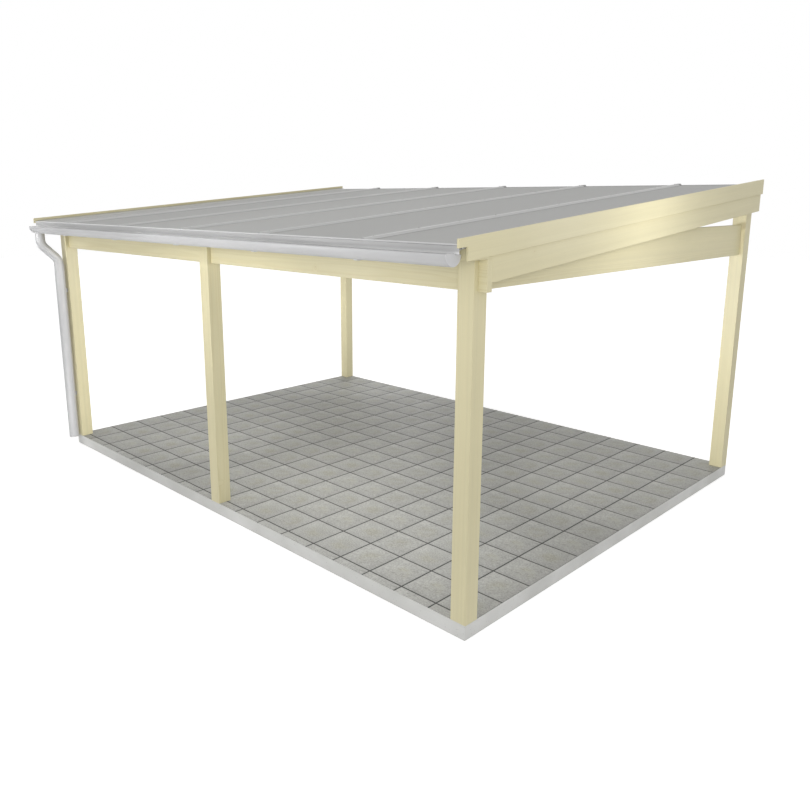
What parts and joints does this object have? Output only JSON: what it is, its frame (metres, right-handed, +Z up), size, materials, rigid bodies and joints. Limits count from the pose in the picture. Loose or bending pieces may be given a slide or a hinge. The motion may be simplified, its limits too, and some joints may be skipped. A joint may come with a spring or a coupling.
{
  "type": "sunroom frame",
  "caption": "Open timber sunroom frame on a tiled floor, with a low-pitched twin-wall sheet roof, a half-round gutter and a swan-neck downpipe.",
  "frame": {"origin": "centre of the tiled floor in plan, at the ground under the concrete base", "axes": "+X to the right seen from the front, +Y from the gutter side to the high back, +Z up"},
  "size_m": [5.528, 4.2658, 2.7638],
  "materials": {
    "concrete": "smooth",
    "floor_tile": "matt",
    "timber": "planed, pale",
    "roof_sheet": "satin",
    "glazing_bar": "satin",
    "rainwater_metal": "satin"
  },
  "bodies": {
    "root": {"foundation_slab": "concrete", "floor_tiles": "floor_tile", "post_front_left": "timber", "post_front_middle": "timber", "post_front_right": "timber", "post_back_left": "timber", "post_back_right": "timber", "front_beam": "timber", "back_beam": "timber", "side_beam_left": "timber", "side_beam_right": "timber", "outer_rafter_left": "timber", "outer_rafter_right": "timber", "rafter_1": "timber", "rafter_2": "timber", "rafter_3": "timber", "rafter_4": "timber", "rafter_5": "timber", "verge_board_left": "timber", "verge_board_right": "timber", "roof_sheet_1": "roof_sheet", "roof_sheet_2": "roof_sheet", "roof_sheet_3": "roof_sheet", "roof_sheet_4": "roof_sheet", "roof_sheet_5": "roof_sheet", "roof_sheet_6": "roof_sheet", "glazing_bar_1": "glazing_bar", "glazing_bar_2": "glazing_bar", "glazing_bar_3": "glazing_bar", "glazing_bar_4": "glazing_bar", "glazing_bar_5": "glazing_bar", "verge_bar_left": "glazing_bar", "verge_bar_right": "glazing_bar", "eaves_profile": "glazing_bar", "back_profile": "glazing_bar", "gutter": "rainwater_metal", "gutter_bracket_1": "rainwater_metal", "gutter_bracket_2": "rainwater_metal", "gutter_bracket_3": "rainwater_metal", "gutter_bracket_4": "rainwater_metal", "gutter_bracket_5": "rainwater_metal", "swan_neck": "rainwater_metal", "downpipe": "rainwater_metal", "pipe_holder_lower": "rainwater_metal", "pipe_holder_upper": "rainwater_metal"}
  },
  "joints": []
}
